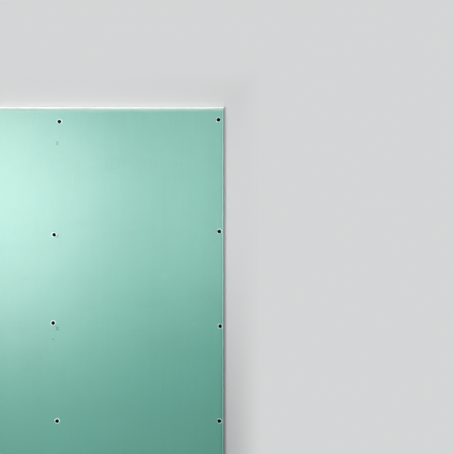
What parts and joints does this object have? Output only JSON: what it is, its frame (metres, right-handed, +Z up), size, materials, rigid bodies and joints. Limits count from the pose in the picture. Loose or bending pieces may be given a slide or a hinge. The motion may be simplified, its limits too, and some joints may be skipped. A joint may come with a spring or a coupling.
{
  "type": "drywall sheet",
  "caption": "Moisture-resistant plasterboard sheet with tapered long edges, one trimmed end and rows of drywall screw holes.",
  "frame": {"origin": "middle of the back, on the plane that the sheet lies on", "axes": "+X across the width, +Y along the length towards the trimmed end, +Z up out of the green face"},
  "size_m": [0.9, 1.8, 0.0125],
  "materials": {
    "gypsum": "matt, porous where cut",
    "green_liner": "smooth, slight sheen",
    "grey_liner": "matt, recycled fibre"
  },
  "bodies": {
    "root": {"gypsum_core": "gypsum", "face_paper": "green_liner", "back_paper": "grey_liner"}
  },
  "joints": []
}
